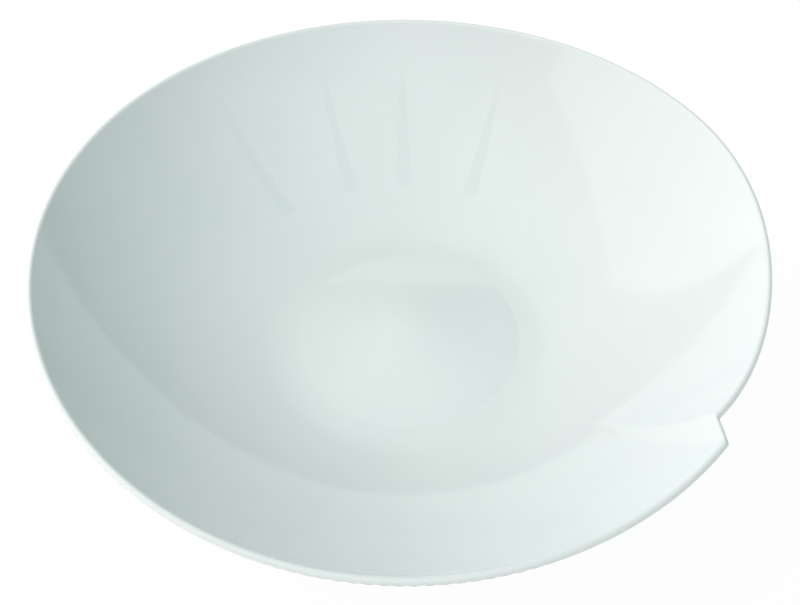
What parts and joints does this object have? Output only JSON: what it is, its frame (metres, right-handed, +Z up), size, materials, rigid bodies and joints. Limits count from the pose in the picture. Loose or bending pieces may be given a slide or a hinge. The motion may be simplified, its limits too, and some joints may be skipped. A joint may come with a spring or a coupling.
{
  "type": "deep coupe dish",
  "caption": "Deep round coupe dish in glazed porcelain: a shell-like step in its rim with a crease below it, a fine reeded outside, a raised conical floor and a foot ring.",
  "frame": {"origin": "middle of the bounding box's bottom face, on the table that the foot stands on; the foot's axis is 2.8 mm from it towards +X and 1.3 mm towards +Y", "axes": "+Z up out of the bowl; -Y is the front and the rim's step is at the front right, 36 to 41.5 degrees from +X towards -Y"},
  "size_m": [0.2988, 0.3008, 0.072],
  "materials": {
    "biscuit_porcelain": "matte",
    "clear_glaze": "gloss"
  },
  "bodies": {
    "root": {"porcelain_body": "biscuit_porcelain", "foot_ring": "biscuit_porcelain", "inner_glaze": "clear_glaze", "outer_glaze": "clear_glaze", "base_glaze": "clear_glaze"}
  },
  "joints": []
}
